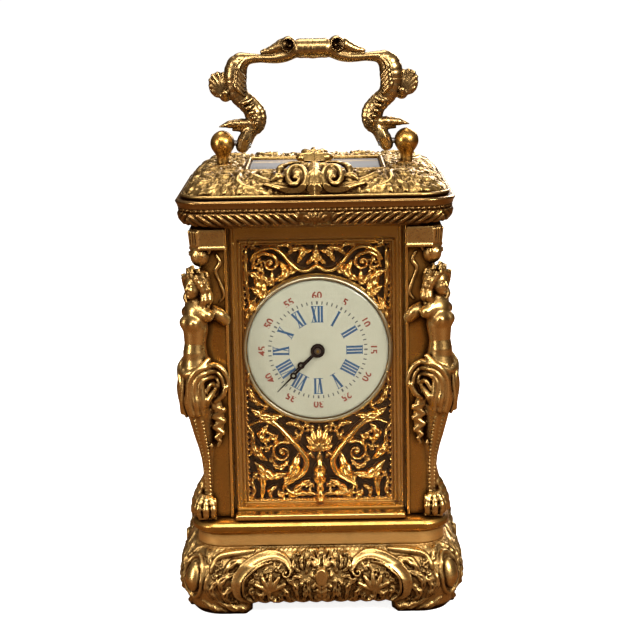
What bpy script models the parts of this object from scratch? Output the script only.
"""A miniature carriage clock: gilt case with four corner figures, and the going movement inside it.

Lengths below are in millimetres, and the helpers turn them into metres. The clock faces -Y, +X is its right
seen from the front, +Z is up, and the origin is the middle of its footprint on the table.
"""

import math

import bmesh
import bpy

MM = 0.001
FIT = 0.1  # gap left between two pieces that touch

# Case
POST_SIZE = 5.2
CASE_HALF = (22.6, 21.6)  # outer faces of the corner posts
BASE_HALF = (29.0, 28.0)
BASE_TOP = 19.3
BASE_ROOF = 3.6
FOOT_HEIGHT = 5.0
CORNICE_BOTTOM = 78.4
CORNICE_HALF = (27.4, 26.4)
CORNICE_TOP = 84.0
LID_HALF = (26.4, 25.4)
LID_TOP = 88.0
WINDOW_HALF = (13.4, 11.0)
GLASS = 1.4

# Handle
BALL_X = 18.8
BALL_RADIUS = 2.6
PIVOT_Z = 92.7
HANDLE_TOP = 113.7

# Dial
DIAL_Z = 52.8
DIAL_RADIUS = 14.2
MASK_Y = -16.1  # back of the mask plate
MASK_THICKNESS = 0.7

# Movement
FRONT_PLATE_Y = -13.0
BACK_PLATE_Y = 11.0
PLATE = 1.4
PLATE_HALF_X = 15.5
PLATE_BOTTOM = 20.6
PLATE_TOP = 66.2
PLATFORM_THICKNESS = 1.2

# Wheel work: teeth and module of each pair, and the angle at which the next arbor stands from the last
BARREL_TEETH, INTERMEDIATE_LEAVES, BARREL_MODULE = 80, 12, 0.22
INTERMEDIATE_TEETH, CENTRE_LEAVES, INTERMEDIATE_MODULE = 60, 12, 0.20
CENTRE_TEETH, THIRD_LEAVES, CENTRE_MODULE = 64, 8, 0.16
THIRD_TEETH, CONTRATE_LEAVES, THIRD_MODULE = 60, 8, 0.14
CONTRATE_TEETH, ESCAPE_LEAVES, CONTRATE_MODULE = 60, 6, 0.13
CANNON_LEAVES, MINUTE_TEETH, MINUTE_LEAVES, HOUR_TEETH, MOTION_MODULE = 10, 30, 8, 32, 0.16
ESCAPE_TEETH = 15
RATCHET_TEETH = 24

WHEEL_TOOTH = (0.95, 1.15, 0.0, 0.27)  # addendum, dedendum, and half widths at tip and root in pitches
LEAF = (0.75, 1.20, 0.10, 0.17)


def step(start, teeth, leaves, module, angle):
    """The arbor that meshes with the one at start, angle degrees from +X towards +Z."""
    distance = module * (teeth + leaves) / 2
    turn = math.radians(angle)
    return (start[0] + distance * math.cos(turn), start[1] + distance * math.sin(turn))


TO_INTERMEDIATE = 226.0
TO_BARREL = -60.4
TO_THIRD = 125.0
TO_CONTRATE = 46.0
TO_MINUTE = -90.0
CENTRE = (0.0, DIAL_Z)
INTERMEDIATE = step(CENTRE, INTERMEDIATE_TEETH, CENTRE_LEAVES, INTERMEDIATE_MODULE, TO_INTERMEDIATE)
BARREL = step(INTERMEDIATE, BARREL_TEETH, INTERMEDIATE_LEAVES, BARREL_MODULE, TO_BARREL)
THIRD = step(CENTRE, CENTRE_TEETH, THIRD_LEAVES, CENTRE_MODULE, TO_THIRD)
CONTRATE = step(THIRD, THIRD_TEETH, CONTRATE_LEAVES, THIRD_MODULE, TO_CONTRATE)
MINUTE = step(CENTRE, MINUTE_TEETH, CANNON_LEAVES, MOTION_MODULE, TO_MINUTE)
CONTRATE_RADIUS = CONTRATE_TEETH * CONTRATE_MODULE / 2
CROWN_TIP_Y = 2.6
ESCAPE_Y = CROWN_TIP_Y + (ESCAPE_LEAVES / 2 - WHEEL_TOOTH[0]) * CONTRATE_MODULE
LEVER_Y = ESCAPE_Y - 3.7
BALANCE_Y = LEVER_Y - 4.6
PLATFORM_TOP = PLATE_TOP + FIT + PLATFORM_THICKNESS
ESCAPE_WHEEL_Z = PLATFORM_TOP + 1.0
BALANCE_Z = PLATFORM_TOP + 3.2

for old in list(bpy.data.objects):
    bpy.data.objects.remove(old, do_unlink=True)

helpers = bpy.data.collections.new("helpers")
bpy.context.scene.collection.children.link(helpers)
helpers.hide_render = True


# --- materials -------------------------------------------------------------------------------------------

def material(name, colour, metallic, roughness):
    made = bpy.data.materials.new(name)
    made.use_nodes = True
    shader = made.node_tree.nodes["Principled BSDF"]
    shader.inputs["Base Color"].default_value = (*colour, 1.0)
    shader.inputs["Metallic"].default_value = metallic
    shader.inputs["Roughness"].default_value = roughness
    made.diffuse_color = (*colour, 1.0)
    return made


GILT = material("gilt", (0.80, 0.50, 0.13), 1.0, 0.25)
PLATE_BRASS = material("plate_brass", (0.80, 0.60, 0.28), 1.0, 0.35)
STEEL = material("steel", (0.55, 0.56, 0.58), 1.0, 0.25)
BLUED = material("blued_steel", (0.02, 0.03, 0.09), 1.0, 0.3)
ENAMEL = material("enamel", (0.86, 0.83, 0.76), 0.0, 0.15)
CLEAR = material("glass", (0.9, 0.95, 0.95), 0.0, 0.02)


# --- helpers ---------------------------------------------------------------------------------------------

def add(name, data, at=(0, 0, 0), finish=None):
    made = bpy.data.objects.new(name, data)
    bpy.context.scene.collection.objects.link(made)
    made.location = [value * MM for value in at]
    if finish:
        data.materials.append(finish)
    return made


def to_helpers(item):
    """Takes a tool object out of the rendered scene."""
    for collection in list(item.users_collection):
        collection.objects.unlink(item)
    helpers.objects.link(item)
    item.hide_render = True
    item.display_type = "WIRE"
    return item


def combine(target, tool, operation):
    to_helpers(tool)
    made = target.modifiers.new(operation.lower(), "BOOLEAN")
    made.operation = operation
    made.solver = "EXACT"
    made.object = tool
    return target


def union(target, *tools):
    for tool in tools:
        combine(target, tool, "UNION")
    return target


def cut(target, *tools):
    for tool in tools:
        combine(target, tool, "DIFFERENCE")
    return target


def from_bmesh(name, work, at, finish):
    mesh = bpy.data.meshes.new(name)
    work.to_mesh(mesh)
    work.free()
    return add(name, mesh, at, finish)


def box(name, low, high, finish=None, at=(0, 0, 0)):
    work = bmesh.new()
    bmesh.ops.create_cube(work, size=1.0)
    for corner in work.verts:
        corner.co = [
            (low[i] + (corner.co[i] + 0.5) * (high[i] - low[i])) * MM for i in range(3)
        ]
    return from_bmesh(name, work, at, finish)


def ellipsoid(name, at, radii, finish=None, segments=12, tilt=0.0):
    """tilt turns it about Y, in degrees."""
    work = bmesh.new()
    bmesh.ops.create_uvsphere(work, u_segments=segments, v_segments=segments // 2 + 1, radius=MM)
    bmesh.ops.scale(work, vec=radii, verts=work.verts)
    made = from_bmesh(name, work, at, finish)
    made.rotation_euler = (0, math.radians(tilt), 0)
    return made


def rounded_rectangle(half_x, half_y, radius, per_corner):
    points = []
    for quarter in range(4):
        sign_x = 1 if quarter in (0, 3) else -1
        sign_y = 1 if quarter in (0, 1) else -1
        for i in range(per_corner + 1):
            turn = math.pi / 2 * (quarter + i / per_corner)
            points.append((
                sign_x * (half_x - radius) + radius * math.cos(turn),
                sign_y * (half_y - radius) + radius * math.sin(turn),
            ))
    return points


def stacked(name, sections, finish=None, at=(0, 0, 0), per_corner=4):
    """A solid extruded upwards through rounded rectangles, each (z, half x, half y, corner radius)."""
    work = bmesh.new()
    place = work.verts.layers.int.new("place")
    z, half_x, half_y, radius = sections[0]
    ring = []
    for i, (x, y) in enumerate(rounded_rectangle(half_x, half_y, radius, per_corner)):
        corner = work.verts.new((x * MM, y * MM, z * MM))
        corner[place] = i
        ring.append(corner)
    top = work.faces.new(ring)
    for level, (z, half_x, half_y, radius) in enumerate(sections[1:]):
        outline = rounded_rectangle(half_x, half_y, radius, per_corner)
        below = top
        grown = bmesh.ops.extrude_face_region(work, geom=[below])["geom"]
        top = next(item for item in grown if isinstance(item, bmesh.types.BMFace))
        if level and below.is_valid:
            bmesh.ops.delete(work, geom=[below], context="FACES_ONLY")
        for corner in top.verts:
            x, y = outline[corner[place]]
            corner.co = (x * MM, y * MM, z * MM)
    open_edges = [edge for edge in work.edges if edge.is_boundary]
    bmesh.ops.holes_fill(work, edges=open_edges)
    bmesh.ops.recalc_face_normals(work, faces=work.faces)
    return from_bmesh(name, work, at, finish)


AXIS_TURN = {"X": (0, math.pi / 2, 0), "Y": (math.pi / 2, 0, 0), "Z": (0, 0, 0)}


def turned(name, profile, axis="Z", at=(0, 0, 0), finish=None, steps=16):
    """A lathe shape: profile is (place along the axis, radius), from its low end to its high end."""
    sign = -1 if axis == "Y" else 1
    points = [(radius * MM, 0, sign * place * MM) for place, radius in profile]
    if sign > 0:
        points.reverse()
    edges = [(i, i + 1) for i in range(len(points) - 1)]
    if points[0] == points[-1]:
        points.pop()
        edges[-1] = (len(points) - 1, 0)
    mesh = bpy.data.meshes.new(name)
    mesh.from_pydata(points, edges, [])
    made = add(name, mesh, at, finish)
    made.rotation_euler = AXIS_TURN[axis]
    lathe = made.modifiers.new("lathe", "SCREW")
    lathe.steps = steps
    lathe.render_steps = steps
    lathe.use_merge_vertices = True
    lathe.merge_threshold = 1e-6
    lathe.use_smooth_shade = False
    return made


def rod(name, low, high, radius, axis="Z", at=(0, 0, 0), finish=None, steps=12):
    return turned(name, [(low, 0), (low, radius), (high, radius), (high, 0)], axis, at, finish, steps)


def circle(radius, count, centre=(0, 0), start=0.0):
    turns = [start + 2 * math.pi * i / count for i in range(count)]
    return [(centre[0] + radius * math.cos(t), centre[1] + radius * math.sin(t)) for t in turns]


def flat(name, outline, thickness, at=(0, 0, 0), finish=None, holes=(), upright=True):
    """A plate of an outline with holes. Upright, it lies in XZ and grows to +Y; if not, in XY and to +Z."""
    curve = bpy.data.curves.new(name, "CURVE")
    curve.dimensions = "2D"
    curve.fill_mode = "BOTH"
    curve.extrude = thickness / 2 * MM
    for points in (outline, *holes):
        spline = curve.splines.new("POLY")
        spline.points.add(len(points) - 1)
        for point, (x, y) in zip(spline.points, points):
            point.co = (x * MM, y * MM, 0, 1)
        spline.use_cyclic_u = True
    sketch = bpy.data.objects.new(name + "_outline", curve)
    mesh = bpy.data.meshes.new_from_object(sketch)
    bpy.data.objects.remove(sketch)
    work = bmesh.new()
    work.from_mesh(mesh)
    bmesh.ops.remove_doubles(work, verts=work.verts, dist=1e-7)
    bmesh.ops.recalc_face_normals(work, faces=work.faces)
    lift = -thickness / 2 if upright else thickness / 2
    bmesh.ops.translate(work, vec=(0, 0, lift * MM), verts=work.verts)
    bpy.data.meshes.remove(mesh)
    made = from_bmesh(name, work, at, finish)
    if upright:
        made.rotation_euler = AXIS_TURN["Y"]
    return made


def gear_outline(teeth, module, form, phase):
    addendum, dedendum, tip, root = form
    pitch_radius = module * teeth / 2
    inner = pitch_radius - dedendum * module
    outer = pitch_radius + addendum * module
    points = []
    corners = [(inner, -root), (outer, -tip), (outer, tip), (inner, root)]
    if tip == 0:
        corners.pop(1)
    for i in range(teeth):
        for radius, offset in corners:
            turn = phase + (i + offset) * 2 * math.pi / teeth
            points.append((radius * math.cos(turn), radius * math.sin(turn)))
    return points


def towards(start, end):
    return math.atan2(end[1] - start[1], end[0] - start[0])


def tooth_phase(start, end):
    """Puts a tooth of the wheel at start on the line to end."""
    return towards(start, end)


def gap_phase(start, end, leaves):
    """Puts a gap of the pinion at start on the line to end."""
    return towards(start, end) + math.pi / leaves


def crossings(inner, outer, spokes=4, arm=0.9):
    """The openings between a wheel's arms."""
    found = []
    for i in range(spokes):
        middle = 2 * math.pi * (i + 0.5) / spokes
        wide = math.pi / spokes - arm / 2 / outer
        narrow = math.pi / spokes - arm / 2 / inner
        arc = [middle + wide * (k / 2 - 1) for k in range(5)]
        points = [(outer * math.cos(t), outer * math.sin(t)) for t in arc]
        points += [(inner * math.cos(middle + s * narrow),
                    inner * math.sin(middle + s * narrow)) for s in (1, -1)]
        found.append(points)
    return found


def spiral_band(start, end, turns, width, per_turn, first=0.0):
    """The outline of a flat coiled spring."""
    count = int(turns * per_turn)
    outer, inner = [], []
    for i in range(count + 1):
        radius = start + (end - start) * i / count
        turn = first + 2 * math.pi * i / per_turn
        outer.append(((radius + width) * math.cos(turn), (radius + width) * math.sin(turn)))
        inner.append((radius * math.cos(turn), radius * math.sin(turn)))
    return outer + inner[::-1]


def upright_at(place, y):
    """Where an arbor at place (x, z) stands, with y."""
    return (place[0], y, place[1])


# --- case ------------------------------------------------------------------------------------------------

SIDES = {"left": -1, "right": 1}
ENDS = {"front": -1, "rear": 1}
DOOR_PIVOT = (16.4, 20.7)
MOVEMENT_SCREW_X = 11.0
MOVEMENT_SCREW_Y = -2.0
LOWER_PILLAR_Z = 24.0
CAVITY_HALF = (22.0, 21.0)


def make_base():
    wide, deep = BASE_HALF
    base = stacked("base_casting", [
        (3.0, wide - 1.8, deep - 1.8, 6.0),
        (5.0, wide - 0.4, deep - 0.4, 7.0),
        (7.5, wide, deep, 7.5),
        (10.5, wide - 1.2, deep - 1.2, 7.0),
        (13.0, wide - 3.4, deep - 3.4, 6.0),
        (13.9, wide - 3.9, deep - 3.9, 5.5),
        (16.8, wide - 4.1, deep - 4.1, 5.5),
        (17.3, wide - 3.2, deep - 3.2, 5.5),
        (18.3, wide - 2.9, deep - 2.9, 5.5),
        (BASE_TOP, wide - 3.8, deep - 3.8, 5.0),
    ], GILT)
    cut(base, stacked("base_cavity", [
        (2.0, *CAVITY_HALF, 4.0),
        (BASE_TOP - BASE_ROOF, *CAVITY_HALF, 4.0),
    ]))
    for side in SIDES.values():
        for end in ENDS.values():
            union(base, stacked("foot_block", [
                (0.0, 5.6, 5.4, 1.5),
                (2.0, 6.2, 6.0, 1.5),
                (FOOT_HEIGHT, 6.6, 6.4, 1.5),
            ], at=(side * 19.4, end * 18.6, 0), per_corner=2))
    for side in SIDES.values():
        cut(base, rod("movement_screw_hole", 14.0, 21.0, 0.8,
                      at=(side * MOVEMENT_SCREW_X, MOVEMENT_SCREW_Y, 0)))
    cut(base, rod("lower_door_hole", BASE_TOP - 1.4, 21.0, 0.75, at=(*DOOR_PIVOT, 0)))
    stacked("bottom_plate", [
        (FOOT_HEIGHT + 0.2, CAVITY_HALF[0] - FIT, CAVITY_HALF[1] - FIT, 3.9),
        (FOOT_HEIGHT + 1.2, CAVITY_HALF[0] - FIT, CAVITY_HALF[1] - FIT, 3.9),
    ], PLATE_BRASS)


def make_posts():
    low = BASE_TOP + FIT
    high = CORNICE_BOTTOM - FIT
    half = POST_SIZE / 2
    for side_name, side in SIDES.items():
        for end_name, end in ENDS.items():
            centre = (side * (CASE_HALF[0] - half), end * (CASE_HALF[1] - half), 0)
            stacked(f"corner_post_{end_name}_{side_name}", [
                (low, half, half, 0.3),
                (low + 1.6, half, half, 0.3),
                (low + 2.0, half - 0.25, half - 0.25, 0.3),
                (high - 2.0, half - 0.25, half - 0.25, 0.3),
                (high - 1.6, half, half, 0.3),
                (high, half, half, 0.3),
            ], GILT, at=centre, per_corner=1)


def make_caryatid(name, side, end):
    """A term figure: scroll foot, tapering shaft, draped hips, bust, wreathed head and a small capital."""
    low = BASE_TOP + FIT
    high = CORNICE_BOTTOM - FIT
    x = side * (CASE_HALF[0] + 0.5)
    y = end * (CASE_HALF[1] + 0.5)
    pieces = [
        turned("figure_shaft", [
            (low, 0), (low, 3.4), (22.4, 3.7), (25.0, 3.2), (28.0, 2.2), (41.0, 3.3),
            (46.0, 4.2), (51.0, 3.6), (54.5, 2.9), (58.0, 3.4), (61.5, 4.2), (63.5, 3.0), (64.8, 1.6),
            (66.0, 0),
        ], at=(x, y, 0), steps=16),
        ellipsoid("figure_head", (x, y, 68.0), (3.0, 3.0, 3.6)),
        ellipsoid("figure_hair", (x, y, 69.8), (3.8, 3.8, 2.6)),
        ellipsoid("figure_shoulder_a", (x + side * 2.1, y - end * 2.0, 61.0), (2.2, 2.2, 2.6)),
        ellipsoid("figure_shoulder_b", (x - side * 2.1, y + end * 2.0, 61.0), (2.2, 2.2, 2.6)),
        ellipsoid("figure_drape", (x, y, 44.0), (4.5, 4.5, 5.2)),
        turned("figure_capital", [
            (70.5, 0), (70.5, 2.6), (73.0, 2.8), (75.0, 3.4), (76.0, 3.8), (high, 4.2), (high, 0),
        ], at=(x, y, 0), steps=12),
    ]
    work = bmesh.new()
    graph = bpy.context.evaluated_depsgraph_get()
    graph.update()
    for piece in pieces:
        shape = piece.evaluated_get(graph).to_mesh()
        shape.transform(piece.matrix_world)
        work.from_mesh(shape)
    for piece in pieces:
        bpy.data.objects.remove(piece)
    bmesh.ops.translate(work, vec=(-x * MM, -y * MM, 0), verts=work.verts)
    figure = from_bmesh(name, work, (x, y, 0), GILT)
    skin = figure.modifiers.new("skin", "REMESH")
    skin.mode = "VOXEL"
    skin.voxel_size = 0.55 * MM
    fewer = figure.modifiers.new("fewer", "DECIMATE")
    fewer.ratio = 0.03
    half = POST_SIZE / 2 + FIT
    centre = (side * (CASE_HALF[0] - POST_SIZE / 2), end * (CASE_HALF[1] - POST_SIZE / 2))
    cut(figure, box("post_clearance", (-half, -half, 10), (half, half, 90), at=(*centre, 0)))
    cut(figure, box("floor_trim", (-20, -20, low - 5), (20, 20, low), at=(x, y, 0)))
    cut(figure, box("ceiling_trim", (-20, -20, high), (20, 20, high + 5), at=(x, y, 0)))


def make_caryatids():
    for side_name, side in SIDES.items():
        for end_name, end in ENDS.items():
            make_caryatid(f"caryatid_{end_name}_{side_name}", side, end)


def make_cornice():
    wide, deep = CORNICE_HALF
    cornice = stacked("cornice", [
        (CORNICE_BOTTOM, wide - 2.4, deep - 2.4, 5.0),
        (79.4, wide - 1.8, deep - 1.8, 5.5),
        (81.2, wide - 0.3, deep - 0.3, 7.0),
        (82.1, wide, deep, 7.3),
        (82.7, wide - 0.2, deep - 0.2, 7.2),
        (83.0, wide - 0.8, deep - 0.8, 7.0),
        (CORNICE_TOP, wide - 1.2, deep - 1.2, 7.0),
    ], GILT)
    cut(cornice, box("cornice_opening", (-16, -15, 70), (16, 15, 90)))
    cut(cornice, rod("upper_door_hole", 70.0, CORNICE_BOTTOM + 1.4, 0.75, at=(*DOOR_PIVOT, 0)))


def make_lid():
    wide, deep = LID_HALF
    low = CORNICE_TOP + FIT
    lid = stacked("lid", [
        (low, wide, deep, 7.0),
        (85.0, wide - 0.4, deep - 0.4, 7.0),
        (86.4, wide - 2.0, deep - 2.0, 6.5),
        (87.4, wide - 3.6, deep - 3.6, 6.0),
        (LID_TOP, wide - 4.7, deep - 4.7, 5.5),
    ], GILT)
    union(lid, ellipsoid("lid_cartouche", (0, -14.9, LID_TOP + 1.2), (7.8, 3.6, 4.0), segments=16))
    x, y = WINDOW_HALF
    cut(lid, box("lid_window", (-x, -y, 80), (x, y, 99)))
    cut(lid, box("lid_rebate", (-x - 1.5, -y - 1.5, 80), (x + 1.5, y + 1.5, 86.2)))
    for side in SIDES.values():
        cut(lid, rod("ball_post_hole", 80.0, 99.0, 0.95, at=(side * BALL_X, 0, 0)))
    stacked("top_glass", [
        (84.5, x + 1.4, y + 1.4, 0.3),
        (85.4, x + 1.4, y + 1.4, 0.3),
        (86.1, x + 0.6, y + 0.6, 0.3),
    ], CLEAR, per_corner=1)


def make_glazing():
    low = BASE_TOP + FIT
    high = CORNICE_BOTTOM - FIT
    middle = (low + high) / 2
    half_z = (high - low) / 2
    half_x = CASE_HALF[0] - POST_SIZE - FIT
    half_y = CASE_HALF[1] - POST_SIZE - FIT
    bevel = 1.5
    front = stacked("front_glass", [
        (0, half_x, half_z, 0.2),
        (GLASS - 0.6, half_x, half_z, 0.2),
        (GLASS, half_x - bevel, half_z - bevel, 0.2),
    ], CLEAR, at=(0, -CASE_HALF[1] + 0.3 + GLASS, middle), per_corner=1)
    front.rotation_euler = (math.pi / 2, 0, 0)
    for name, side in SIDES.items():
        pane = stacked(f"side_glass_{name}", [
            (0, half_z, half_y, 0.2),
            (GLASS - 0.6, half_z, half_y, 0.2),
            (GLASS, half_z - bevel, half_y - bevel, 0.2),
        ], CLEAR, at=(side * (CASE_HALF[0] - 0.3 - GLASS), 0, middle), per_corner=1)
        pane.rotation_euler = (0, side * math.pi / 2, 0)


def make_back_door():
    low = BASE_TOP + 2 * FIT
    high = CORNICE_BOTTOM - 2 * FIT
    middle = (low + high) / 2
    half_z = (high - low) / 2
    half_x = 17.0
    thickness = 1.2
    rim = 3.0
    pivot_x, pivot_y = DOOR_PIVOT
    outline = [(-half_x - pivot_x, -half_z), (half_x - pivot_x, -half_z)]
    outline += [(half_x - pivot_x, half_z), (-half_x - pivot_x, half_z)]
    window = [(-half_x + rim - pivot_x, -half_z + rim), (half_x - rim - pivot_x, -half_z + rim)]
    window += [(half_x - rim - pivot_x, half_z - rim), (-half_x + rim - pivot_x, half_z - rim)]
    start = pivot_y - thickness / 2
    door = flat("back_door_frame", outline, thickness, (pivot_x, start, middle), GILT, [window])
    union(door, rod("door_pin_low", low - 1.2, low + 1.0, 0.5, at=(pivot_x, pivot_y, 0)))
    union(door, rod("door_pin_high", high - 1.0, high + 1.2, 0.5, at=(pivot_x, pivot_y, 0)))
    pane_x = half_x - rim - FIT
    pane_z = half_z - rim - FIT
    pane = stacked("back_door_glass", [
        (0, pane_x, pane_z, 0.2),
        (0.5, pane_x, pane_z, 0.2),
        (0.9, pane_x - 1.4, pane_z - 1.4, 0.2),
    ], CLEAR, at=(-pivot_x, -0.4, middle), per_corner=1)
    hinge = bpy.data.objects.new("back_door_hinge", None)
    bpy.context.scene.collection.objects.link(hinge)
    hinge.location = (pivot_x * MM, pivot_y * MM, 0)
    pane.parent = hinge
    pane.rotation_euler = (-math.pi / 2, 0, 0)
    knob = turned("door_knob", [
        (0, 0), (0, 0.9), (0.5, 0.9), (0.9, 0.55), (1.6, 0.55), (2.0, 1.1), (2.6, 1.35), (3.2, 1.1), (3.5, 0),
    ], "Y", (-15.5 - pivot_x, thickness / 2 + FIT, 48.0), GILT, 12)
    knob.parent = hinge


# --- handle ----------------------------------------------------------------------------------------------

LUG_X = 14.8  # middle of each handle lug
LUG_HALF = 1.1
ARM = [  # x, height above the pivot, radius of the scaly body
    (14.9, 0.0, 1.0), (14.9, 1.6, 1.15), (14.4, 3.0, 1.6), (13.4, 4.8, 1.9), (12.8, 7.2, 2.1),
    (14.1, 9.4, 2.1), (16.4, 11.4, 2.1), (18.2, 13.6, 1.9), (17.6, 16.0, 1.6), (14.8, 18.0, 1.2),
    (10.5, 18.8, 0.95), (6.7, 19.2, 0.95), (4.5, 19.8, 1.0),
]


def make_handle():
    curve = bpy.data.curves.new("handle", "CURVE")
    curve.dimensions = "3D"
    curve.bevel_depth = MM
    curve.bevel_resolution = 1
    curve.use_fill_caps = True
    points = ARM + [(-x, z, r) for x, z, r in reversed(ARM)]
    spline = curve.splines.new("POLY")
    spline.points.add(len(points) - 1)
    for point, (x, z, radius) in zip(spline.points, points):
        point.co = (x * MM, 0, z * MM, 1)
        point.radius = radius
    sketch = bpy.data.objects.new("handle_route", curve)
    mesh = bpy.data.meshes.new_from_object(sketch)
    bpy.data.objects.remove(sketch)
    work = bmesh.new()
    work.from_mesh(mesh)
    bmesh.ops.remove_doubles(work, verts=work.verts, dist=1e-6)
    bmesh.ops.recalc_face_normals(work, faces=work.faces)
    handle = from_bmesh("handle", work, (0, 0, PIVOT_Z), GILT)
    bar = HANDLE_TOP - PIVOT_Z
    union(handle, box("handle_block", (-2.6, -1.3, bar - 2.8), (2.6, 1.3, bar), at=(0, 0, PIVOT_Z)))
    for side in SIDES.values():
        centre = (side * LUG_X, 0, PIVOT_Z)
        union(handle, rod("handle_lug", -LUG_HALF, LUG_HALF, 2.0, "X", centre, steps=16))
        union(handle, rod("handle_volute", -0.9, 0.9, 1.75, "Y", (side * 4.6, 0, PIVOT_Z + 20.4), steps=12))
        union(handle, ellipsoid("handle_fin", (side * 19.3, 0, PIVOT_Z + 11.8), (1.9, 1.1, 2.9), segments=10))
        union(handle, ellipsoid("handle_fluke", (side * 16.5, 0, PIVOT_Z + 5.2), (3.6, 1.0, 1.1), segments=10,
                                tilt=side * 12))
        cut(handle, rod("lug_bore", -3, 3, 0.75, "X", centre))
    for name, side in SIDES.items():
        ball = turned(f"ball_post_{name}", [
            (85.2, 0), (85.2, 0.8), (LID_TOP + FIT, 0.8), (LID_TOP + FIT, 2.1), (LID_TOP + 0.6, 2.0),
            (LID_TOP + 1.3, 1.5), (LID_TOP + 2.4, 1.45), (PIVOT_Z - 1.9, 1.7), (PIVOT_Z - 1.2, 2.3),
            (PIVOT_Z, BALL_RADIUS), (PIVOT_Z + 1.3, 2.25), (PIVOT_Z + 2.1, 1.4), (PIVOT_Z + BALL_RADIUS, 0),
        ], at=(side * BALL_X, 0, 0), finish=GILT, steps=12)
        reach = 2.4
        cut(ball, rod("ball_bore", -4, 4, 0.75, "X", (side * (BALL_X - 4.2), 0, PIVOT_Z)))
        pin = [(-reach - 0.5, 0), (-reach - 0.5, 1.0), (-reach, 1.2), (-reach, 0.6), (reach, 0.6), (reach, 0)]
        profile = [(side * place, radius) for place, radius in pin]
        if side < 0:
            profile.reverse()
        turned(f"handle_pivot_{name}", profile, "X", (side * (LUG_X + 1.15), 0, PIVOT_Z), STEEL, 12)


# --- dial ------------------------------------------------------------------------------------------------

MASK_FRONT = MASK_Y - MASK_THICKNESS
DIAL_BACK = MASK_FRONT - FIT
HOUR_HAND_Y = -18.75
MINUTE_HAND_Y = -19.25
HAND_THICKNESS = 0.25
MINUTE_ANGLE = 225.0  # clockwise from twelve
HOUR_ANGLE = 228.75


def scroll_cells():
    """Simple through openings in the mask plate, above and below the dial."""
    cells = []
    for z, rows in ((DIAL_Z + 19.6, (0, 5.5, 11.0)), (24.5, (0, 5.5, 11.0)), (31.5, (4.0, 9.5))):
        for x in rows:
            cells.append(circle(1.7, 6, (x, z)))
            if x:
                cells.append(circle(1.7, 6, (-x, z)))
    return cells


def make_dial():
    low = BASE_TOP + FIT
    high = CORNICE_BOTTOM - FIT
    half_x = CASE_HALF[0] - POST_SIZE - FIT
    outline = [(-half_x, low), (half_x, low), (half_x, high), (-half_x, high)]
    hole = circle(12.4, 32, (0, DIAL_Z))
    flat("mask_plate", outline, MASK_THICKNESS, (0, MASK_FRONT, 0), GILT, [hole, *scroll_cells()])
    dial = turned("dial", [
        (-1.55, 0), (-1.5, 2.0), (-1.3, 7.0), (-1.0, 11.0), (-0.75, 13.4), (-0.45, DIAL_RADIUS),
        (-FIT / 10, DIAL_RADIUS), (0, 12.0), (0, 0),
    ], "Y", (0, DIAL_BACK, DIAL_Z), ENAMEL, 32)
    cut(dial, rod("dial_hole", -3, 3, 1.25, "Y", (0, DIAL_BACK, DIAL_Z)))
    turned("dial_bezel", [
        (-1.1, DIAL_RADIUS + 0.15), (-1.15, DIAL_RADIUS + 0.45), (-0.8, DIAL_RADIUS + 0.8),
        (0, DIAL_RADIUS + 0.85), (0, DIAL_RADIUS + 0.15), (-1.1, DIAL_RADIUS + 0.15),
    ], "Y", (0, DIAL_BACK, DIAL_Z), GILT, 32)


def make_hand(name, y, length, ring_at, ring_radius, bore, turn):
    """A hand with a hollow moon near its tip. It points up before it is turned clockwise."""
    half = 0.22
    hub = bore + 0.45
    outline = [(-half, hub)]
    outline += [(hub * math.cos(t), hub * math.sin(t)) for t in
                (math.radians(120 + 300 * i / 10) for i in range(11))]
    outline += [(half, hub), (half, ring_at - ring_radius)]
    outline += [(ring_radius * math.sin(t), ring_at - ring_radius * math.cos(t)) for t in
                (math.pi * i / 6 for i in range(1, 6))]
    outline += [(half * 0.8, ring_at + ring_radius), (0.06, length), (-0.06, length),
                (-half * 0.8, ring_at + ring_radius)]
    outline += [(-ring_radius * math.sin(t), ring_at - ring_radius * math.cos(t)) for t in
                (math.pi * i / 6 for i in range(5, 0, -1))]
    outline += [(-half, ring_at - ring_radius)]
    holes = [circle(bore, 12), circle(ring_radius * 0.45, 8, (0, ring_at))]
    hand = flat(name, outline, HAND_THICKNESS, (0, y, DIAL_Z), BLUED, holes)
    hand.rotation_euler = (math.pi / 2, math.radians(turn), 0)
    return hand


# --- movement --------------------------------------------------------------------------------------------

PIVOT = 0.25
PIVOT_HOLE = 0.36
ARBOR = 0.45
GREAT_WHEEL_Y = -9.6
INTERMEDIATE_WHEEL_Y = -11.0
CENTRE_WHEEL_Y = -7.6
THIRD_WHEEL_Y = -3.6
CONTRATE_WHEEL_Y = 0.6
WHEEL = 0.6
DRUM_RADIUS = 8.0
DRUM_BACK = 7.6
FRONT_INNER = FRONT_PLATE_Y + PLATE
BACK_OUTER = BACK_PLATE_Y + PLATE
RATCHET_Y = BACK_OUTER + 0.35
RATCHET_RADIUS = 3.6
CLICK_AT = (5.6, BARREL[1] + 3.2)


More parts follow.
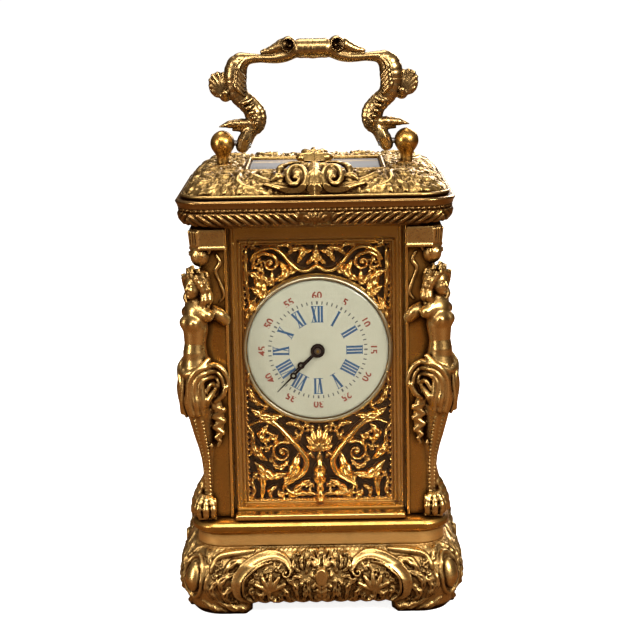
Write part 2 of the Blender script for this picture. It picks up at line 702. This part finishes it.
def make_frame():
    outline = [(-PLATE_HALF_X, PLATE_BOTTOM), (PLATE_HALF_X, PLATE_BOTTOM),
               (PLATE_HALF_X, PLATE_TOP), (-PLATE_HALF_X, PLATE_TOP)]
    pillars = [(side * x, z) for z, x in ((LOWER_PILLAR_Z, MOVEMENT_SCREW_X), (PLATE_TOP - 3.0, 12.8))
               for side in SIDES.values()]
    train = [circle(PIVOT_HOLE, 8, place) for place in (INTERMEDIATE, THIRD, CONTRATE)]
    pillar_holes = [circle(0.85, 8, place) for place in pillars]
    front_only = [circle(0.75, 8, CENTRE), circle(0.95, 8, BARREL), circle(PIVOT_HOLE, 8, MINUTE)]
    back_only = [circle(0.75, 8, CENTRE), circle(1.3, 12, BARREL), circle(0.45, 8, CLICK_AT)]
    flat("front_plate", outline, PLATE, (0, FRONT_PLATE_Y, 0), PLATE_BRASS, train + pillar_holes + front_only)
    flat("back_plate", outline, PLATE, (0, BACK_PLATE_Y, 0), PLATE_BRASS, train + pillar_holes + back_only)
    near = FRONT_INNER + FIT
    far = BACK_PLATE_Y - FIT
    for number, (x, z) in enumerate(pillars, 1):
        pillar = turned(f"movement_pillar_{number}", [
            (FRONT_PLATE_Y + 0.1, 0), (FRONT_PLATE_Y + 0.1, 0.75), (near, 0.75), (near, 1.7),
            (near + 1.5, 1.7),
            (near + 2.2, 1.2), (far - 2.2, 1.2), (far - 1.5, 1.7), (far, 1.7), (far, 0.75),
            (BACK_OUTER - 0.1, 0.75), (BACK_OUTER - 0.1, 0),
        ], "Y", (x, 0, z), PLATE_BRASS, 10)
        if z == LOWER_PILLAR_Z:
            cut(pillar, rod("pillar_screw_hole", 20.0, z + 0.4, 0.75, at=(x, MOVEMENT_SCREW_Y, 0), steps=8))
    for name, side in SIDES.items():
        roof = BASE_TOP - BASE_ROOF
        turned(f"movement_screw_{name}", [
            (roof - 1.3, 0), (roof - 1.3, 1.5), (roof - FIT, 1.5), (roof - FIT, 0.6),
            (LOWER_PILLAR_Z + 0.1, 0.6), (LOWER_PILLAR_Z + 0.1, 0),
        ], at=(side * MOVEMENT_SCREW_X, MOVEMENT_SCREW_Y, 0), finish=STEEL, steps=8)


def arbor(name, place, low, high, radius=ARBOR, low_pivot=True, high_pivot=True):
    """A steel arbor along Y with its pivots in the plates."""
    profile = []
    if low_pivot:
        profile += [(FRONT_PLATE_Y + 0.2, 0), (FRONT_PLATE_Y + 0.2, PIVOT), (low, PIVOT), (low, radius)]
    else:
        profile += [(low, 0), (low, radius)]
    if high_pivot:
        profile += [(high, radius), (high, PIVOT), (BACK_OUTER - 0.2, PIVOT), (BACK_OUTER - 0.2, 0)]
    else:
        profile += [(high, radius), (high, 0)]
    return turned(name, profile, "Y", (place[0], 0, place[1]), steps=8)


def wheel(name, place, y, teeth, module, phase, thickness=WHEEL, arms=True):
    outer = module * teeth / 2 - 1.15 * module - 0.55
    holes = crossings(1.3, outer) if arms else []
    outline = gear_outline(teeth, module, WHEEL_TOOTH, phase)
    return flat(name, outline, thickness, upright_at(place, y), PLATE_BRASS, holes)


def pinion(name, place, y, length, leaves, module, phase):
    return flat(name, gear_outline(leaves, module, LEAF, phase), length, upright_at(place, y))


def make_barrel():
    drum = wheel("barrel", BARREL, GREAT_WHEEL_Y, BARREL_TEETH, BARREL_MODULE,
                 tooth_phase(BARREL, INTERMEDIATE), 1.0, arms=False)
    at = upright_at(BARREL, 0)
    union(drum, rod("drum", GREAT_WHEEL_Y + 0.5, DRUM_BACK, DRUM_RADIUS, "Y", at, steps=24))
    cut(drum, rod("drum_inside", GREAT_WHEEL_Y + 1.8, DRUM_BACK + 1, DRUM_RADIUS - 0.7, "Y", at, steps=24))
    cut(drum, rod("drum_bore", -12, 12, 1.15, "Y", at))
    flat("barrel_cover", circle(DRUM_RADIUS - 0.8, 24), 0.7, upright_at(BARREL, DRUM_BACK - 0.9), PLATE_BRASS,
         [circle(1.3, 12)])
    flat("mainspring", spiral_band(2.5, 6.6, 3.5, 0.35, 12), 12.0, upright_at(BARREL, GREAT_WHEEL_Y + 2.6),
         STEEL)
    core = turned("winding_arbor", [
        (FRONT_PLATE_Y + 0.1, 0), (FRONT_PLATE_Y + 0.1, 0.8), (FRONT_INNER + FIT, 0.8),
        (FRONT_INNER + FIT, 1.0),
        (GREAT_WHEEL_Y + 2.2, 1.0), (GREAT_WHEEL_Y + 2.2, 2.2), (DRUM_BACK - 1.3, 2.2),
        (DRUM_BACK - 1.3, 1.1),
        (RATCHET_Y - 0.1, 1.1), (RATCHET_Y - 0.1, 0.8), (RATCHET_Y + 0.9, 0.8), (RATCHET_Y + 0.9, 0),
    ], "Y", at, STEEL, 12)
    union(core, box("winding_square", (-0.75, RATCHET_Y - 0.3, -0.75), (0.75, 17.6, 0.75), at=at))


def make_click_work():
    inner = RATCHET_RADIUS - 0.55
    outline = []
    for i in range(RATCHET_TEETH):
        turn = 2 * math.pi * i / RATCHET_TEETH
        outline.append((RATCHET_RADIUS * math.cos(turn), RATCHET_RADIUS * math.sin(turn)))
        turn += 0.02
        outline.append((inner * math.cos(turn), inner * math.sin(turn)))
    square = [(-0.85, -0.85), (0.85, -0.85), (0.85, 0.85), (-0.85, 0.85)]
    flat("ratchet_wheel", outline, 0.8, upright_at(BARREL, RATCHET_Y), STEEL, [square])
    reach = math.hypot(CLICK_AT[0], CLICK_AT[1] - BARREL[1])
    nose = reach - RATCHET_RADIUS - 0.12
    down = math.atan2(BARREL[1] - CLICK_AT[1], BARREL[0] - CLICK_AT[0])
    lean = down + 0.28

    def along(distance, aside):
        return (distance * math.cos(lean) - aside * math.sin(lean),
                distance * math.sin(lean) + aside * math.cos(lean))

    body = [along(-1.1, -0.5), along(0.2, -0.95), along(nose, -0.15), along(nose + 0.05, 0.15),
            along(0.2, 0.95),
            along(-1.1, 0.5)]
    click = flat("click", body, 0.7, upright_at(CLICK_AT, RATCHET_Y + 0.05), STEEL)
    union(click, rod("click_screw", BACK_PLATE_Y + 0.3, RATCHET_Y + 1.2, 0.32, "Y", upright_at(CLICK_AT, 0),
                     steps=8))
    post = (9.6, CLICK_AT[1] + 3.4)
    blade = [(post[0] - 0.2, post[1]), (post[0] + 0.9, post[1]), (post[0] + 0.9, post[1] - 1.6),
             (7.9, CLICK_AT[1] - 2.4), (7.7, CLICK_AT[1] - 2.4), (post[0] - 0.2, post[1] - 1.3)]
    flat("click_spring", blade, 0.5, (0, BACK_OUTER + FIT, 0), STEEL)


def make_train():
    piece = wheel("intermediate_wheel", INTERMEDIATE, INTERMEDIATE_WHEEL_Y, INTERMEDIATE_TEETH,
                  INTERMEDIATE_MODULE,
                  tooth_phase(INTERMEDIATE, CENTRE))
    union(piece,
          arbor("intermediate_arbor", INTERMEDIATE, FRONT_INNER + 0.15, BACK_PLATE_Y - 0.15),
          pinion("intermediate_pinion", INTERMEDIATE, GREAT_WHEEL_Y - 0.2, 1.4, INTERMEDIATE_LEAVES,
                 BARREL_MODULE,
                 gap_phase(INTERMEDIATE, BARREL, INTERMEDIATE_LEAVES)))
    piece = wheel("centre_wheel", CENTRE, CENTRE_WHEEL_Y, CENTRE_TEETH, CENTRE_MODULE,
                  tooth_phase(CENTRE, THIRD))
    union(piece,
          turned("centre_arbor", [
              (-19.6, 0), (-19.6, 0.3), (FRONT_PLATE_Y - 0.2, 0.3), (FRONT_PLATE_Y - 0.2, 0.6), (13.0, 0.6),
              (13.0, 0),
          ], "Y", upright_at(CENTRE, 0), steps=8),
          box("setting_square", (-0.5, 12.5, -0.5), (0.5, 17.2, 0.5), at=upright_at(CENTRE, 0)),
          pinion("centre_pinion", CENTRE, INTERMEDIATE_WHEEL_Y - 0.2, 1.2, CENTRE_LEAVES, INTERMEDIATE_MODULE,
                 gap_phase(CENTRE, INTERMEDIATE, CENTRE_LEAVES)))
    piece = wheel("third_wheel", THIRD, THIRD_WHEEL_Y, THIRD_TEETH, THIRD_MODULE,
                  tooth_phase(THIRD, CONTRATE))
    union(piece,
          arbor("third_arbor", THIRD, FRONT_INNER + 0.15, BACK_PLATE_Y - 0.15, 0.3),
          pinion("third_pinion", THIRD, CENTRE_WHEEL_Y - 0.3, 1.3, THIRD_LEAVES, CENTRE_MODULE,
                 gap_phase(THIRD, CENTRE, THIRD_LEAVES)))


def make_contrate():
    """A crown wheel: its teeth stand along Y and turn the upright escape pinion."""
    crown = flat("contrate_wheel", circle(CONTRATE_RADIUS + 0.1, CONTRATE_TEETH,
                                          start=math.pi / 2 + math.pi / CONTRATE_TEETH),
                 CROWN_TIP_Y - CONTRATE_WHEEL_Y, upright_at(CONTRATE, CONTRATE_WHEEL_Y), PLATE_BRASS)
    cut(crown, rod("crown_inside", CONTRATE_WHEEL_Y + WHEEL, 9, CONTRATE_RADIUS - 0.45, "Y",
                   upright_at(CONTRATE, 0), steps=24))
    depth = 2.2 * CONTRATE_MODULE
    gaps = gear_outline(CONTRATE_TEETH, CONTRATE_MODULE, (8.5, 8.5, 0.31, 0.31), math.pi / 2)
    cut(crown, flat("crown_gaps", gaps, 1.0, upright_at(CONTRATE, CROWN_TIP_Y - depth)))
    union(crown,
          arbor("contrate_arbor", CONTRATE, FRONT_INNER + 0.15, BACK_PLATE_Y - 0.15, 0.3),
          pinion("contrate_pinion", CONTRATE, THIRD_WHEEL_Y - 0.3, 1.3, CONTRATE_LEAVES, THIRD_MODULE,
                 gap_phase(CONTRATE, THIRD, CONTRATE_LEAVES)))


def make_motion_work():
    """The gears between the front plate and the dial that drive the hour hand."""
    pipe_end = MINUTE_HAND_Y - 0.1
    cannon = pinion("cannon_pinion", CENTRE, -14.4, 1.0, CANNON_LEAVES, MOTION_MODULE,
                    gap_phase(CENTRE, MINUTE, CANNON_LEAVES))
    cannon.data.materials.append(STEEL)
    union(cannon, rod("cannon_pipe", pipe_end, -13.9, 0.6, "Y", upright_at(CENTRE, 0)))
    cut(cannon, rod("cannon_bore", -21.0, -12.0, 0.38, "Y", upright_at(CENTRE, 0)))
    minute = wheel("minute_wheel", MINUTE, -14.3, MINUTE_TEETH, MOTION_MODULE, tooth_phase(MINUTE, CENTRE),
                   0.5,
                   arms=False)
    union(minute,
          rod("minute_stud", -15.6, FRONT_PLATE_Y + 1.0, PIVOT, "Y", upright_at(MINUTE, 0), steps=8),
          pinion("minute_pinion", MINUTE, -15.5, 1.4, MINUTE_LEAVES, MOTION_MODULE,
                 gap_phase(MINUTE, CENTRE, MINUTE_LEAVES)))
    hour = wheel("hour_wheel", CENTRE, -15.3, HOUR_TEETH, MOTION_MODULE, tooth_phase(CENTRE, MINUTE), 0.5,
                 arms=False)
    union(hour, rod("hour_pipe", HOUR_HAND_Y - 0.05, -15.0, 0.95, "Y", upright_at(CENTRE, 0)))
    cut(hour, rod("hour_bore", -21.0, -12.0, 0.74, "Y", upright_at(CENTRE, 0)))
    make_hand("hour_hand", HOUR_HAND_Y, 6.6, 4.5, 0.75, 1.0, HOUR_ANGLE)
    make_hand("minute_hand", MINUTE_HAND_Y, 11.6, 7.0, 0.7, 0.66, MINUTE_ANGLE)


def make_escapement():
    top = PLATFORM_TOP
    low = PLATE_TOP + FIT
    outline = [(x, y - 0.3) for x, y in rounded_rectangle(8.0, 12.4, 1.5, 2)]
    holes = [circle(0.5, 8, (0, ESCAPE_Y)), circle(0.36, 8, (0, LEVER_Y)), circle(0.36, 8, (0, BALANCE_Y))]
    platform = flat("escapement_platform", outline, PLATFORM_THICKNESS, (0, 0, low), PLATE_BRASS, holes,
                    upright=False)
    union(platform,
          box("potence_arm", (-1.0, ESCAPE_Y + 0.95, 62.5), (1.0, ESCAPE_Y + 1.9, low + 0.2)),
          box("potence_foot", (-1.0, CROWN_TIP_Y + 0.1, 62.5), (1.0, ESCAPE_Y + 1.5, 63.3)))
    cock = box("balance_cock", (-2.6, -12.5, top + FIT), (2.6, -11.3, BALANCE_Z + 2.1), PLATE_BRASS)
    union(cock, box("cock_arm", (-1.1, -12.4, BALANCE_Z + 1.3), (1.1, BALANCE_Y + 0.9, BALANCE_Z + 2.0)))
    bridge_low = ESCAPE_WHEEL_Z + 1.0
    bridge = box("escape_cock", (-2.2, 6.4, top + FIT), (2.2, 8.2, bridge_low + 0.7), PLATE_BRASS)
    union(bridge, box("bridge_arm", (-0.9, LEVER_Y - 0.7, bridge_low), (0.9, 7.0, bridge_low + 0.6)))

    teeth = []
    for i in range(ESCAPE_TEETH):
        turn = 2 * math.pi * i / ESCAPE_TEETH
        for radius, lead in ((1.9, 0.0), (2.6, 0.16), (2.55, 0.22), (1.9, 0.12)):
            teeth.append((radius * math.cos(turn + lead), radius * math.sin(turn + lead)))
    escape = flat("escape_wheel", teeth, 0.4, (0, ESCAPE_Y, ESCAPE_WHEEL_Z), STEEL,
                  crossings(0.6, 1.6, 4, 0.4),
                  upright=False)
    mesh_low = CONTRATE[1] + CONTRATE_RADIUS - 0.7
    union(escape,
          rod("escape_arbor", 63.4, bridge_low - FIT, 0.25, at=(0, ESCAPE_Y, 0), steps=8),
          flat("escape_pinion", gear_outline(ESCAPE_LEAVES, CONTRATE_MODULE, LEAF, -math.pi / 2), 1.4,
               (0, ESCAPE_Y, mesh_low), upright=False))

    half = [(0.35, -0.5), (0.3, -3.0), (0.55, -3.5), (0.45, -3.6), (0.2, -3.25)]
    arms = [(2.9, 1.75), (2.45, 1.8), (2.1, 0.9), (0.6, 0.6), (-0.6, 0.6), (-2.1, 0.9), (-2.45, 1.8),
            (-2.9, 1.75)]
    arms += [(-2.5, 0.3), (-0.5, -0.2)]
    outline = [(2.5, 0.3)] + arms + [(-x, y) for x, y in half] + [(x, y) for x,
                                                                  y in reversed(half)] + [(0.5, -0.2)]
    lever = flat("pallet_lever", outline, 0.4, (0, LEVER_Y, ESCAPE_WHEEL_Z), STEEL, upright=False)
    union(lever, rod("lever_arbor", low + 0.2, bridge_low - FIT, 0.22, at=(0, LEVER_Y, 0), steps=8))

    balance = flat("balance_wheel", circle(5.4, 32), 0.7, (0, BALANCE_Y, BALANCE_Z), PLATE_BRASS,
                   crossings(0.9, 4.7, 3, 0.8), upright=False)
    union(balance,
          rod("balance_staff", low + 0.2, BALANCE_Z + 1.2, 0.25, at=(0, BALANCE_Y, 0), steps=8),
          rod("roller", ESCAPE_WHEEL_Z + 0.8, ESCAPE_WHEEL_Z + 1.1, 0.8, at=(0, BALANCE_Y, 0)),
          rod("impulse_pin", ESCAPE_WHEEL_Z, ESCAPE_WHEEL_Z + 1.0, 0.1, at=(0, BALANCE_Y + 0.6, 0), steps=6))
    flat("hairspring", spiral_band(0.9, 3.7, 4, 0.12, 12), 0.25, (0, BALANCE_Y, BALANCE_Z + 0.85), BLUED,
         upright=False)


make_base()
make_posts()
make_caryatids()
make_cornice()
make_lid()
make_glazing()
make_back_door()
make_handle()
make_dial()
make_frame()
make_barrel()
make_click_work()
make_train()
make_contrate()
make_motion_work()
make_escapement()
